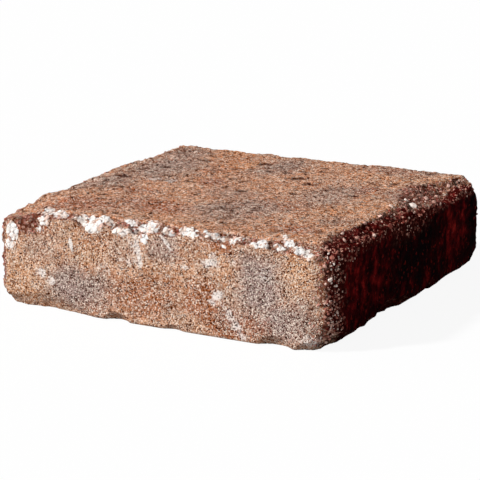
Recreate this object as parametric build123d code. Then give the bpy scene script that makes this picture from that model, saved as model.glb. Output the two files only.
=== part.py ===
from build123d import *
import math
import os
import random

# A square paving stone of dry-cast concrete, cast as one piece and then tumbled, so that its arrises
# are spalled and its corners are knocked off. Millimetres, +Z up. The origin is in the middle of the
# base. The front face is at -Y, and the right-hand face at +X.

# The block as it leaves the mould
width = 175.0
depth = 176.0
thickness = 48.0
half_width = width / 2
half_depth = depth / 2

# Rounding that the tumbling leaves everywhere, before the breaks
top_arris_radius = 3.0
base_arris_radius = 1.0
corner_radii = {
    "front_left": 6.5,
    "front_right": 5.5,
    "back_right": 4.5,
    "back_left": 7.0,
}

# Directions
left = Vector(-1, 0, 0)
right = Vector(1, 0, 0)
front = Vector(0, -1, 0)
back = Vector(0, 1, 0)
up = Vector(0, 0, 1)
down = Vector(0, 0, -1)

# Breaks along the arrises, each as (distance along the arris, length, bite, lean). The bite is measured
# from the sharp arris. The lean is how far the break faces from the first of the arris's two faces, at
# 0 degrees, towards the second, at 90. Long breaks leave a nearly flat bevel, and short ones a hollow spall.
front_top_breaks = [
    (22, 70, 3.4, 66),
    (80, 80, 3.3, 66),
    (130, 60, 3.0, 68),
    (165, 60, 4.4, 66),
    (20, 22, 4.5, 62),
    (50, 20, 4.6, 60),
    (66, 18, 4.2, 64),
    (78, 20, 4.8, 62),
    (94, 16, 4.0, 54),
    (122, 20, 3.9, 76),
    (151, 22, 4.9, 70),
    (163, 18, 5.4, 66),
]
right_top_breaks = [
    (25, 80, 3.8, 70),
    (75, 80, 4.0, 68),
    (130, 110, 4.4, 74),
    (12, 22, 4.6, 68),
    (31, 24, 4.9, 72),
    (48, 24, 5.8, 66),
    (79, 24, 5.2, 66),
    (98, 26, 5.6, 68),
    (137, 46, 6.4, 80),
    (158, 26, 5.4, 72),
]
right_base_breaks = [
    (28, 110, 3.8, 50),
    (90, 110, 3.4, 50),
    (150, 110, 3.8, 50),
    (12, 26, 6.4, 46),
    (43, 18, 5.8, 48),
    (64, 42, 7.6, 46),
    (79, 22, 6.6, 48),
    (114, 20, 6.0, 46),
    (138, 20, 3.9, 50),
    (157, 16, 4.2, 50),
    (172, 20, 4.4, 50),
]
front_base_breaks = [
    (26, 60, 3.8, 26),
    (8, 16, 4.3, 32),
    (27, 20, 4.7, 30),
    (66, 14, 3.5, 40),
    (96, 12, 2.0, 40),
    (148, 18, 3.8, 38),
    (165, 14, 3.4, 44),
]
left_top_breaks = [
    (2, 100, 5.2, 84),
    (58, 56, 3.2, 83),
    (84, 60, 1.7, 82),
    (8, 80, 5.2, 58),
    (70, 80, 2.6, 56),
    (140, 90, 2.8, 56),
    (10, 24, 6.6, 58),
    (27, 18, 4.8, 56),
    (58, 14, 3.4, 60),
    (128, 18, 3.6, 58),
    (160, 20, 3.8, 54),
]
back_top_breaks = [
    (25, 80, 4.2, 62),
    (85, 80, 4.0, 62),
    (150, 90, 3.8, 62),
    (12, 20, 4.6, 58),
    (46, 28, 5.8, 62),
    (67, 26, 5.8, 62),
    (109, 36, 5.0, 62),
    (140, 20, 4.2, 58),
]

# Corners knocked off, each as (corner, direction that the break looks in, bite from the sharp corner)
corner_break_radius = 55.0
knocked_corners = [
    ((-1, -1, 1), (-0.55, -0.75, 0.45), 7.5),
    ((-1, -1, 1), (-0.60, -0.35, 0.80), 8.0),
    ((1, -1, 1), (0.75, -0.50, 0.70), 7.0),
    ((1, 1, 1), (0.45, 0.30, 0.85), 6.3),
    ((1, 1, 1), (0.75, 0.45, 0.50), 8.0),
    ((1, 1, 1), (0.90, 0.60, 0.20), 6.0),
    ((-1, 1, 1), (-0.35, 0.35, 0.87), 5.6),
    ((-1, 1, 1), (-0.60, 0.65, 0.60), 6.5),
    ((1, -1, -1), (0.75, -0.40, -0.60), 9.0),
    ((1, -1, -1), (0.90, -0.50, -0.20), 5.5),
    ((1, -1, -1), (0.40, -0.50, -0.77), 7.0),
    ((-1, -1, -1), (-0.70, -0.50, -0.60), 6.5),
    ((1, 1, -1), (0.75, 0.45, -0.75), 8.0),
    ((-1, 1, -1), (-0.60, 0.60, -0.70), 6.5),
]

# Pits in the wearing face, where grains came out, each as (x, y, length, breadth, depth, turn in degrees)
pit_corners = 7
pit_floor_share = 0.45
top_pits = [
    (-75, -32, 18, 4.6, 1.1, 12),
    (-70, -2, 12, 4.8, 1.0, 0),
    (-56, -42, 8, 4.2, 0.9, 30),
    (-53, 50, 12, 4.0, 0.8, 5),
    (-47, -1, 9, 3.4, 0.7, 20),
    (-29, 40, 6, 4.6, 0.9, 60),
    (-21, 58, 10, 5.4, 1.2, -20),
    (0, 44, 8, 5.2, 1.1, -30),
    (11, 34, 14, 6.2, 1.2, 25),
    (15, -25, 6, 3.8, 0.7, 0),
    (22, 24, 9, 5.6, 1.1, 10),
    (24, -66, 6, 3.4, 0.6, 40),
    (52, 12, 6, 4.8, 0.8, -20),
    (58, 46, 7, 4.6, 0.8, 70),
]

# Wear of an arris with no breaks listed above: gap between breaks, their length, bite and lean, each as
# (least, most)
bevel_wear = ((45.0, 60.0), (80.0, 100.0), (2.9, 3.5), (42.0, 54.0))
spall_wear = ((18.0, 30.0), (15.0, 24.0), (3.6, 4.8), (36.0, 58.0))
upright_wear = ((12.0, 18.0), (12.0, 22.0), (1.8, 2.8), (30.0, 60.0))
tumbling = random.Random(41)


def corner_point(side_x, side_y, side_z):
    """The sharp corner of the block on the given sides, as -1 or 1 each way."""
    z = thickness if side_z > 0 else 0.0
    return Vector(side_x * half_width, side_y * half_depth, z)


def moulded_block():
    """The block with its upright corners and its arrises rounded."""
    plan = {
        "front_left": (-half_width, -half_depth),
        "front_right": (half_width, -half_depth),
        "back_right": (half_width, half_depth),
        "back_left": (-half_width, half_depth),
    }
    outline = Rectangle(width, depth)
    for name, radius in corner_radii.items():
        corner = outline.vertices().sort_by_distance(plan[name])[0]
        outline = fillet(corner, radius)
    block = extrude(outline, thickness)
    block = fillet(block.faces().sort_by(Axis.Z)[-1].edges(), top_arris_radius)
    return fillet(block.faces().sort_by(Axis.Z)[0].edges(), base_arris_radius)


def break_ball(point, direction, bite, radius):
    """A ball that reaches past the point by the bite, so that the cut has a hollow, shell-like face."""
    centre = point + direction.normalized() * (radius - bite)
    return Pos(centre) * Sphere(radius)


def arris_break(arris, along, length, bite, lean):
    """One break on an arris, given as its start, its direction and the normals of its two faces."""
    start, run, first_face, second_face = arris
    angle = math.radians(lean)
    outward = first_face * math.cos(angle) + second_face * math.sin(angle)
    radius = (length**2 / 4 + bite**2) / (2 * bite)
    return break_ball(start + run * along, outward, bite, radius)


def uneven_wear(arris, run_length, gaps, lengths, bites, leans):
    """Uneven breaks all along an arris."""
    found = []
    along = tumbling.uniform(*gaps) / 2
    while along < run_length:
        numbers = [tumbling.uniform(*limits) for limits in (lengths, bites, leans)]
        found.append(arris_break(arris, along, *numbers))
        along += tumbling.uniform(*gaps)
    return found


def all_breaks():
    """Every ball that the tumbling takes out of the block."""
    listed = [
        ((corner_point(-1, -1, 1), right, front, up), front_top_breaks),
        ((corner_point(1, -1, 1), back, right, up), right_top_breaks),
        ((corner_point(1, -1, -1), back, right, down), right_base_breaks),
        ((corner_point(-1, -1, -1), right, front, down), front_base_breaks),
        ((corner_point(-1, -1, 1), back, left, up), left_top_breaks),
        ((corner_point(-1, 1, 1), right, back, up), back_top_breaks),
    ]
    breaks = [arris_break(arris, *numbers) for arris, numbered in listed for numbers in numbered]
    unlisted = [
        ((corner_point(-1, -1, -1), back, left, down), depth),
        ((corner_point(-1, 1, -1), right, back, down), width),
    ]
    for arris, run_length in unlisted:
        for wear in (bevel_wear, spall_wear):
            breaks += uneven_wear(arris, run_length, *wear)
    for side_x, outward_x in ((-1, left), (1, right)):
        for side_y, outward_y in ((-1, front), (1, back)):
            arris = (corner_point(side_x, side_y, -1), up, outward_x, outward_y)
            breaks += uneven_wear(arris, thickness, *upright_wear)
    for corner, direction, bite in knocked_corners:
        breaks.append(break_ball(corner_point(*corner), Vector(*direction), bite, corner_break_radius))
    return breaks


def top_pit(x, y, length, breadth, deep, turn):
    """What one pit takes out of the wearing face: a long dish with sloping walls, cut from above."""
    angles = [2 * math.pi * number / pit_corners for number in range(pit_corners)]
    outlines = []
    for height in (deep / 3, -deep):
        share = 1 + height * (1 - pit_floor_share) / deep
        corners = [(share * length / 2 * math.cos(a), share * breadth / 2 * math.sin(a)) for a in angles]
        outlines.append(Pos(x, y, thickness + height) * Rot(0, 0, turn) * Polygon(*corners, align=None))
    return loft(outlines, ruled=True)


def paving_stone():
    """The tumbled stone."""
    stone = moulded_block() - all_breaks() - [top_pit(*numbers) for numbers in top_pits]
    return stone.solids().sort_by(SortBy.VOLUME)[-1]


os.makedirs("parts", exist_ok=True)
export_step(paving_stone(), "parts/paving_stone.step")
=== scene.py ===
import math
import random

import bpy
import numpy as np
from mathutils import Matrix, Vector, noise


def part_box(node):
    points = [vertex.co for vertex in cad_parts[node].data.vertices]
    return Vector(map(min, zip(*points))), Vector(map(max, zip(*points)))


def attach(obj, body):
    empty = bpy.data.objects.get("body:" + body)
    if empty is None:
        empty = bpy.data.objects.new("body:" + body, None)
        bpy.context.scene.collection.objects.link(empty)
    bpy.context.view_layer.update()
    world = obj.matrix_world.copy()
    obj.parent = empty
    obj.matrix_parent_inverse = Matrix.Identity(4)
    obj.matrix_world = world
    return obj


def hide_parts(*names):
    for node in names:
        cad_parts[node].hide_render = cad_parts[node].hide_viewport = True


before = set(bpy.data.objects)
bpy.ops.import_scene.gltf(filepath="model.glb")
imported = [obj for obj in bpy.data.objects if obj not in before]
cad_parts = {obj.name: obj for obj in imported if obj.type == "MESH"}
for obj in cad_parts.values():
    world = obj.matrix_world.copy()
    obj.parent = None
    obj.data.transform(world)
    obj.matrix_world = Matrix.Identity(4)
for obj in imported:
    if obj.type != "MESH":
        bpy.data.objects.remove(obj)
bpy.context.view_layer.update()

# One tumbled paving stone of dry-cast concrete, lying on a pale studio floor. Metres; the front face
# is at -Y and the right-hand face at +X.

MM = 0.001
low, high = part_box("paving_stone")
HALF_WIDTH = (high.x - low.x) / 2
HALF_DEPTH = (high.y - low.y) / 2
THICKNESS = high.z - low.z


# Camera: on the photograph's line of sight, with its narrow field of view

PICTURE_WIDTH = 480.0
FOCAL_PIXELS = 1816.6
SENSOR_WIDTH_MM = 36.0
CLIP_START = 10 * MM
CAMERA_AZIMUTH = math.radians(28.69)
CAMERA_ELEVATION = math.radians(14.24)
CAMERA_DISTANCE = 0.8967
AIM_SIDEWAYS = -3.99 * MM
AIM_UP = -1.96 * MM


def add_camera():
    """The camera looks past the middle of the stone, a little to the left of it and below it."""
    level = math.cos(CAMERA_ELEVATION)
    back = Vector((
        math.sin(CAMERA_AZIMUTH) * level,
        -math.cos(CAMERA_AZIMUTH) * level,
        math.sin(CAMERA_ELEVATION),
    ))
    right = Vector((math.cos(CAMERA_AZIMUTH), math.sin(CAMERA_AZIMUTH), 0.0))
    up = back.cross(right)
    aim = Vector((0, 0, THICKNESS / 2)) + right * AIM_SIDEWAYS + up * AIM_UP
    eye = aim + back * CAMERA_DISTANCE
    data = bpy.data.cameras.new("camera")
    data.lens = FOCAL_PIXELS / PICTURE_WIDTH * SENSOR_WIDTH_MM
    data.sensor_width = SENSOR_WIDTH_MM
    data.clip_start = CLIP_START
    camera = bpy.data.objects.new("camera", data)
    bpy.context.collection.objects.link(camera)
    turn = Matrix((right, up, back)).transposed().to_4x4()
    camera.matrix_world = Matrix.Translation(eye) @ turn
    bpy.context.scene.camera = camera


# Colours and nodes. Sockets that share a name are given by number, and the numbers are named here: for a
# Mix node the amount, what lies under and what is laid over it, as colours or as places, and for a Map
# Range node the value, where its range starts and ends, and what it gives first and last.

AMOUNT, UNDER, OVER = 0, 6, 7
UNDER_PLACE, OVER_PLACE = 4, 5
VALUE, START, END, FIRST, LAST = range(5)


def linear(hex_colour):
    """An sRGB hex colour as linear RGBA."""
    parts = [int(hex_colour[i:i + 2], 16) / 255 for i in (1, 3, 5)]
    return [p / 12.92 if p <= 0.04045 else ((p + 0.055) / 1.055) ** 2.4 for p in parts] + [1.0]


def node(tree, kind, inputs=None, stops=None, **settings):
    """Adds a node, with its settings, the values or links of its inputs, and the stops of its ramp. A node
    among the inputs stands for the first of its outputs that is in use."""
    made = tree.nodes.new(kind)
    for name, value in settings.items():
        setattr(made, name, value)
    for socket, value in (inputs or {}).items():
        if isinstance(value, bpy.types.Node):
            value = next(output for output in value.outputs if output.enabled)
        if isinstance(value, bpy.types.NodeSocket):
            tree.links.new(value, made.inputs[socket])
        else:
            made.inputs[socket].default_value = value
    if stops:
        ramp = made.color_ramp.elements
        while len(ramp) < len(stops):
            ramp.new(0.5)
        for element, (position, colour) in zip(ramp, stops):
            element.position = position
            element.color = colour
    return made


def new_material(name):
    """An empty material and its tree."""
    material = bpy.data.materials.new(name)
    material.use_nodes = True
    material.node_tree.nodes.clear()
    return material, material.node_tree


def scale_of(size_mm):
    """The scale of a pattern whose features are about the given size."""
    return 1.0 / (size_mm * MM)


# Relief of the stone. The surface is worked over as fine squares, and then every point is moved.

STONE_GRID = 0.88 * MM
DOUBLES_WITHIN = 0.01 * MM
BASE_FLAT_WITHIN = 0.05 * MM
BASE_SHARE = 0.08                # share of the base's points that is kept: it is flat and rarely seen

# Kinds of surface, each with where it starts and where it is in full. A point is on a broken arris when it
# is below the moulded faces, and the breaks reach further in on the right. Heights with a minus sign are
# for what is found further down.
ARRIS_DEPTH = (0.25 * MM, 1.0 * MM)
RIGHT_FROM = 0.6 * HALF_WIDTH
BREAKS_REACH = 12.0 * MM
BREAKS_REACH_RIGHT = 26.0 * MM
WORN_LEFT = (0.55 * HALF_WIDTH, 0.8 * HALF_WIDTH)
CALM_LEFT = (0.7 * HALF_WIDTH, 0.85 * HALF_WIDTH)
CALM_BACK = (0.85 * HALF_DEPTH, 0.9 * HALF_DEPTH)
CALM_HEIGHT = (34 * MM, 42 * MM)
SAND_HEIGHT = (THICKNESS - 10 * MM, THICKNESS - 6 * MM)
BELOW_RIM = (-43 * MM, -38 * MM)
NEAR_BASE = (-12 * MM, -7 * MM)

# Patterns of the relief, each with the size of its lumps in mm and its own seed
SOFT_PATTERNS = {
    "swell": (46.0, 3.0),
    "rolling": (9.0, 7.0),
    "lumpy": (4.6, 27.0),
    "sandy": (2.6, 11.0),
    "fine": (1.5, 17.0),
}
PACKED_PATTERNS = {"stones": (4.2, 5.0), "grit": (2.3, 9.0)}
BROKEN_PATTERNS = {"steps": (2.8, 21.0), "wide_ledges": (7.0, 43.0), "narrow_ledges": (3.4, 47.0)}
CREASE_RUN = (15.0, 33.0)
CREASE_REGIONS = (24.0, 37.0)

# Relief: the long swell of every face, and for each kind of surface, mm, its level and the height of each
# pattern on it
SWELL_HEIGHT = 0.25 * MM
RELIEF = {
    "worked": (-0.74, {"rolling": 0.55, "stones": 0.80, "grit": 0.60, "fine": 0.40, "steps": 1.0}),
    "top": (0.0, {
        "rolling": 0.22, "lumpy": 0.24, "sandy": 0.34, "fine": 0.28, "hollows": -0.5, "creases": -0.5,
    }),
    "side": (0.0, {"rolling": 0.16, "sandy": 0.12, "fine": 0.16, "hollows": -0.25}),
    "rough": (-1.10, {"grit": 0.9, "stones": 0.7, "fine": 0.3, "steps": 0.7}),
    "worn": (-0.1, {"wide_ledges": 1.1, "narrow_ledges": 0.7}),
    "patches": (0.2, {"steps": 0.3}),
}

# Limits of the relief, which keep the outline that the solid has
HIGHEST = 0.45 * MM
DEEPEST = 0.75 * MM
DEEPER_WHERE_BROKEN = 0.60 * MM


def smooth(values, start, end):
    """0 before start, 1 past end, and an even slope between."""
    share = np.clip((values - start) / (end - start), 0.0, 1.0)
    return share * share * (3 - 2 * share)


def noise_at(points, size_mm, shift=0.0):
    """Soft noise from about -1 to 1, in lumps of the given size."""
    scale = scale_of(size_mm)
    return np.array([noise.noise(Vector(p) * scale + Vector((shift, -shift, shift))) for p in points])


def lumps_at(points, size_mm, shift=0.0):
    """Rounded stones packed side by side: 1 in the middle of each, falling to 0 where they meet."""
    scale = scale_of(size_mm)
    found = []
    for p in points:
        near = noise.voronoi(Vector(p) * scale + Vector((shift, shift, -shift)))[0]
        found.append(min(1.0, (near[1] - near[0]) * 1.6))
    return np.array(found)


def steps_at(points, size_mm, shift=0.0):
    """Broken flats: each has its own height, from -0.5 to 0.5."""
    scale = scale_of(size_mm)
    found = []
    for p in points:
        middle = noise.voronoi(Vector(p) * scale + Vector((-shift, shift, shift)))[1][0]
        found.append(noise.cell(middle * 40.0))
    return 0.5 * np.array(found)


def select_only(piece):
    """Makes one object the selected and active one."""
    bpy.ops.object.select_all(action="DESELECT")
    piece.select_set(True)
    bpy.context.view_layer.objects.active = piece


def even_copy(name, node_name, grid):
    """A copy of a CAD node's mesh with its doubles merged, worked over as an even grid of small squares."""
    piece = bpy.data.objects.new(name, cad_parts[node_name].data.copy())
    bpy.context.collection.objects.link(piece)
    select_only(piece)
    bpy.ops.object.mode_set(mode="EDIT")
    bpy.ops.mesh.select_all(action="SELECT")
    bpy.ops.mesh.remove_doubles(threshold=DOUBLES_WITHIN)
    bpy.ops.object.mode_set(mode="OBJECT")
    remesh = piece.modifiers.new("even_grid", "REMESH")
    remesh.mode = "VOXEL"
    remesh.voxel_size = grid
    remesh.use_smooth_shade = True
    bpy.ops.object.modifier_apply(modifier=remesh.name)
    thin_base(piece)
    return piece


def thin_base(piece):
    """Takes most of the points out of the flat base, so that the faces that show can have more."""
    points = piece.data.vertices
    flat = [abs(point.co.z) < BASE_FLAT_WITHIN and point.normal.z < -0.99 for point in points]
    select_only(piece)
    bpy.ops.object.mode_set(mode="EDIT")
    bpy.ops.mesh.select_mode(type="VERT")
    bpy.ops.mesh.select_all(action="DESELECT")
    bpy.ops.object.mode_set(mode="OBJECT")
    piece.data.vertices.foreach_set("select", flat)
    bpy.ops.object.mode_set(mode="EDIT")
    bpy.ops.mesh.decimate(ratio=BASE_SHARE)
    bpy.ops.object.mode_set(mode="OBJECT")


def mesh_points(mesh):
    """The points and the point normals of a mesh, as arrays."""
    points = np.empty(len(mesh.vertices) * 3)
    normals = np.empty(len(mesh.vertices) * 3)
    mesh.vertices.foreach_get("co", points)
    mesh.vertices.foreach_get("normal", normals)
    return points.reshape(-1, 3), normals.reshape(-1, 3)


def paint(mesh, name, values):
    """Keeps one value for each point, for the material to read."""
    layer = mesh.attributes.new(name, "FLOAT", "POINT")
    layer.data.foreach_set("value", np.asarray(values, dtype=np.float32))


# Pits of the top face: (x, y, half length, half width, depth, turn in degrees), mm. The solid has the
# larger ones as plain dishes, whose edges are made ragged here. The smaller ones are only here.
TOP_PITS = [
    (-75, -32, 8.0, 3.6, 1.1, 12),
    (-70, -2, 7.0, 3.4, 1.0, 0),
    (-60, -24, 4.0, 1.8, 0.7, 10),
    (-49, 8, 4.0, 1.8, 0.7, 0),
    (-62, 26, 5.0, 2.0, 0.8, 0),
    (-56, -42, 4.0, 2.0, 0.9, 30),
    (-21, 58, 5.0, 2.6, 1.2, -20),
    (-2, -5, 4.5, 2.6, 1.2, 15),
    (11, 34, 7.0, 3.2, 1.2, 25),
    (0, 44, 4.0, 2.6, 1.1, -30),
    (22, 24, 4.5, 2.8, 1.1, 10),
    (-47, -1, 5.0, 1.6, 0.7, 20),
    (-29, 40, 3.0, 2.2, 0.9, 60),
    (15, -25, 3.0, 1.8, 0.7, 0),
    (52, 12, 3.0, 2.4, 0.8, -20),
    (-53, 50, 6.0, 1.8, 0.8, 5),
    (24, -66, 3.0, 1.5, 0.6, 40),
    (58, 46, 3.5, 2.2, 0.8, 70),
    (-10, 14, 3.2, 1.6, 0.7, 10),
    (-21, 42, 2.0, 2.6, 1.0, 0),
    (-23, 55, 3.0, 1.4, 0.9, 10),
    (-10, 42, 3.6, 2.0, 1.0, -10),
    (6, 49, 4.0, 2.2, 1.1, 15),
    (24, 1, 2.6, 2.0, 1.0, 30),
    (34, 15, 3.0, 1.8, 1.0, -20),
    (12, 62, 3.0, 1.6, 0.8, 0),
    (-34, 2, 2.6, 1.4, 0.8, 20),
]
PIT_SHARE = 0.45                 # share of a pit's depth that is cut, since its painted shade does the rest


# Places where the tumbling also roughened the moulded faces: (face, place, reach, place, reach, strength)
ROUGH_ZONES = [
    ("right", -84, 13, 22, 30, 1.0),
    ("right", -70, 14, 44, 9, 0.8),
    ("right", 0, 26, 43, 9, 0.8),
    ("front", 84, 7, 10, 16, 0.9),
    ("front", -72, 11, 42, 7, 0.9),
]


# Where the top's sand breaks off on the right, and where the dark red painted shade of the right-hand side
# starts, which is lower on the broken arris: (y, x). Where that painted shade starts on the near upright
# arris: (z, y). All mm.
SAND_EDGE = [
    (-88, 80), (-75, 77), (-50, 76), (-35, 81), (-16, 81), (0, 77), (23, 71), (42, 65), (53, 71), (58, 80),
    (78, 81), (88, 84),
]
DARK_SIDE_SHADE_EDGE = [
    (-88, 84), (-75, 79), (-53, 77.5), (-36, 79.5), (-24, 81), (-11, 80.5), (0, 80.5), (10, 83), (17, 84.3),
    (22, 86.4), (31, 86), (40, 84), (48, 82.5), (58, 82), (64, 83), (73, 83), (78, 85.5), (88, 87),
]
UPRIGHT_EDGE = [
    (0, -70), (3, -70.5), (9, -77), (12.5, -81.3), (20, -84), (29, -85.6), (38, -86.2), (46, -82.5),
    (48, -84),
]


def past_edge(places, values, edge, ragged):
    """1 where the values are past an edge, which is given at some places along it."""
    known_places, known_values = zip(*edge)
    return smooth(values / MM + ragged - np.interp(places / MM, known_places, known_values), -0.7, 0.7)


def raggedness(points, wide, narrow):
    """How far the edges of the sand and the oxide stray at each point, mm, in wide and in narrow bites."""
    return noise_at(points, 5.0, 51.0) * wide + noise_at(points, 2.2, 57.0) * narrow


def past_sand_edge(points):
    """1 past the ragged edge of the top's sand on the right, down to a few millimetres below the top."""
    past = past_edge(points[:, 1], points[:, 0], SAND_EDGE, raggedness(points, 2.0, 1.6))
    return past * smooth(points[:, 2], *SAND_HEIGHT)


def dark_side_shade_layer(points, normals):
    """1 where the right-hand side is painted dark red as its shade: the right-hand face, its arrises and the
    edge of the top.
    """
    x, y, z = points.T
    ragged = raggedness(points, 1.8, 1.8)
    outward = past_edge(y, x + 10 * MM * smooth(-z, *BELOW_RIM), DARK_SIDE_SHADE_EDGE, ragged)
    behind = past_edge(z, y, UPRIGHT_EDGE, ragged + noise_at(points, 1.3, 59.0))
    # Painted shade: in front, what faces right, away from the key light, is darkened too
    turned = smooth(normals[:, 0] + 0.35 * noise_at(points, 2.2, 73.0), 0.67, 0.80)
    behind = np.maximum(behind, turned * (y < 0))
    return outward * behind * (normals[:, 0] > -0.5)


def broken_share(points, normals):
    """1 on the broken arrises and 0 on the moulded faces, their pits and the worn slope on the left."""
    x, y, z = points.T
    to_side = np.minimum(HALF_WIDTH - np.abs(x), HALF_DEPTH - np.abs(y))
    depth = np.minimum(np.minimum(to_side, THICKNESS - z), z)
    share = smooth(depth, *ARRIS_DEPTH)
    on_right = x > RIGHT_FROM
    reach = np.where(on_right, BREAKS_REACH_RIGHT, BREAKS_REACH)
    share *= smooth(-to_side, -reach - 2 * MM, -reach)
    share *= np.where(on_right, 1.0, 1 - smooth(normals[:, 2], 0.92, 0.97))
    return share * (1 - 0.75 * smooth(-z, *NEAR_BASE))


def top_pit_depth(points):
    """How deep the pits of the top face are at each point, metres, and how much painted shade they hold."""
    depth = np.zeros(len(points))
    shade = np.zeros(len(points))
    ragged = noise_at(points, 2.0, 31.0) * 0.5 + noise_at(points, 5.0, 12.0) * 0.3
    for x, y, half_length, half_width, deep, turn in TOP_PITS:
        angle = math.radians(turn)
        across_x = points[:, 0] / MM - x
        across_y = points[:, 1] / MM - y
        along = (across_x * math.cos(angle) + across_y * math.sin(angle)) / (half_length * 0.9)
        aside = (across_y * math.cos(angle) - across_x * math.sin(angle)) / half_width
        reach = np.sqrt(along**2 + aside**2) + ragged
        depth = np.maximum(depth, PIT_SHARE * deep * MM * smooth(-reach, -1.0, -0.25))
        # Painted shade in the pits
        shade = np.maximum(shade, smooth(-reach, -1.15, -0.6))
    return depth, shade


def stone_surfaces(points, normals):
    """How far each point belongs to each kind of surface, from 0 to 1."""
    x, y, z = points.T
    broken = broken_share(points, normals)
    patches = patch_layer(points)
    rough = np.maximum(cloud_layer(points, ROUGH_ZONES, np.zeros(3)), past_sand_edge(points))
    calm = np.maximum(smooth(-x, *CALM_LEFT), smooth(y, *CALM_BACK)) * smooth(z, *CALM_HEIGHT)
    top = smooth(normals[:, 2], 0.6, 0.9) * (1 - broken)
    return {
        "broken": broken,
        "patches": patches,
        "rough": np.clip(rough, 0, 1) * (1 - broken),
        "worked": broken * (1 - 0.75 * patches) * (1 - 0.5 * calm),
        "top": top,
        "side": (np.abs(normals[:, 2]) < 0.5) * (1 - broken),
        "worn": top * smooth(-x, *WORN_LEFT),
    }


def relief_patterns(points):
    """The patterns that the relief is made of, from long swells to fine sand."""
    found = {name: noise_at(points, *numbers) for name, numbers in SOFT_PATTERNS.items()}
    found.update({name: lumps_at(points, *numbers) for name, numbers in PACKED_PATTERNS.items()})
    found.update({name: steps_at(points, *numbers) for name, numbers in BROKEN_PATTERNS.items()})
    found["hollows"] = smooth(found["lumpy"], 0.20, 0.5) * smooth(found["rolling"], -0.15, 0.4)
    run = noise_at(points, *CREASE_RUN) + 0.3 * found["lumpy"] + 0.15 * found["sandy"]
    regions = smooth(noise_at(points, *CREASE_REGIONS), -0.1, 0.25)
    found["creases"] = smooth(-np.abs(run), -0.08, -0.01) * regions
    return found


def outward_shift(normals, surfaces, patterns, pits):
    """How far each point is moved outwards, metres. The base stays flat."""
    shift = SWELL_HEIGHT * (patterns["swell"] - 1) - surfaces["top"] * pits
    for surface, (level, heights) in RELIEF.items():
        relief = level + sum(height * patterns[name] for name, height in heights.items())
        shift += surfaces[surface] * relief * MM
    shift = np.clip(shift, -DEEPEST - DEEPER_WHERE_BROKEN * surfaces["broken"], HIGHEST)
    return shift * (1 - smooth(-normals[:, 2], 0.9, 0.99))


def held_shade(normals, surfaces, patterns, pit_shade):
    """How much painted shade each point holds: in pits, hollows and creases, and between bared stones."""
    facing_up = smooth(normals[:, 2], 0.2, 0.5) * (1 - surfaces["broken"])
    shade = facing_up * (pit_shade + 0.6 * patterns["hollows"] + 0.6 * patterns["creases"])
    shade += surfaces["side"] * 0.25 * patterns["hollows"]
    gaps = np.clip(1.0 - patterns["stones"] * 1.6 - patterns["grit"] * 0.5, 0, 1)
    gaps *= np.maximum(surfaces["worked"], surfaces["rough"])
    return np.clip(np.maximum(shade, gaps), 0, 1)


def dress_stone():
    """The stone with the relief of its moulded faces and its broken arrises."""
    piece = even_copy("tumbled_stone", "paving_stone", STONE_GRID)
    mesh = piece.data
    points, normals = mesh_points(mesh)
    surfaces = stone_surfaces(points, normals)
    patterns = relief_patterns(points)
    pits, pit_shade = top_pit_depth(points)

    moved = points + normals * outward_shift(normals, surfaces, patterns, pits)[:, None]
    moved[:, 2] = np.maximum(moved[:, 2], 0.0)
    mesh.vertices.foreach_set("co", moved.ravel())
    mesh.update()

    paint(mesh, "wearing_face", surfaces["top"])
    paint(mesh, "broken", np.clip(surfaces["broken"] + 0.6 * surfaces["rough"], 0, 1))
    paint(mesh, "rough", surfaces["rough"])
    paint(mesh, "recess_shade", held_shade(normals, surfaces, patterns, pit_shade))
    paint_pigments(mesh, points, normals, surfaces["patches"])
    return piece


# Pigments, laid down in clouds as the differently coloured mixes are dropped into the mould. Each cloud
# is (face, place and reach across the face, place and reach up or back along it, strength), mm.
RUST_CLOUDS = [
    ("front", 34, 11, 44, 6, 1.0),
    ("front", 24, 13, 16, 12, 1.0),
    ("front", 50, 13, 8, 8, 1.0),
    ("front", 37, 16, 7, 8, 1.0),
    ("front", -7, 26, 15, 13, 0.72),
    ("front", -28, 20, 5, 7, 0.40),
    ("front", -66, 10, 42, 7, 0.75),
    ("front", -32, 12, 40, 6, 0.35),
    ("front", 16, 10, 38, 7, 0.25),
    ("top", -53, 26, -66, 16, 0.72),
    ("top", -26, 26, -52, 13, 0.70),
    ("top", -50, 12, 70, 15, 0.20),
    ("top", -42, 14, 54, 17, 0.25),
    ("top", -34, 13, 36, 12, 0.40),
    ("top", -24, 9, 7, 7, 0.85),
    ("top", 33, 18, -26, 16, 0.52),
    ("top", 50, 9, 26, 8, 0.85),
    ("top", 56, 14, -62, 8, 0.55),
    ("top", -46, 14, -28, 9, 0.50),
    ("top", 46, 26, 74, 10, 0.50),
    ("top", 82, 8, 66, 12, 0.50),
    ("back", 20, 30, 24, 16, 0.8),
    ("back", -50, 22, 12, 12, 0.5),
    ("left", -30, 26, 30, 14, 0.7),
    ("left", 44, 24, 16, 14, 0.6),
]
OCHRE_CLOUDS = [
    ("front", -72, 11, 13, 13, 0.35),
    ("front", 73, 12, 33, 14, 0.35),
    ("front", -46, 14, 34, 10, 0.35),
    ("front", 2, 22, 20, 11, 0.35),
    ("front", 84, 4, 28, 22, 0.90),
    ("top", 58, 22, -10, 26, 0.45),
    ("top", 50, 30, 66, 22, 0.3),
    ("top", 80, 12, 66, 14, 0.9),
    ("top", -49, 14, 68, 20, 1.1),
    ("top", -35, 15, 45, 20, 1.1),
    ("top", 0, 24, -70, 12, 0.35),
    ("back", -20, 26, 34, 12, 0.6),
    ("left", 8, 22, 34, 12, 0.5),
]
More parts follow.
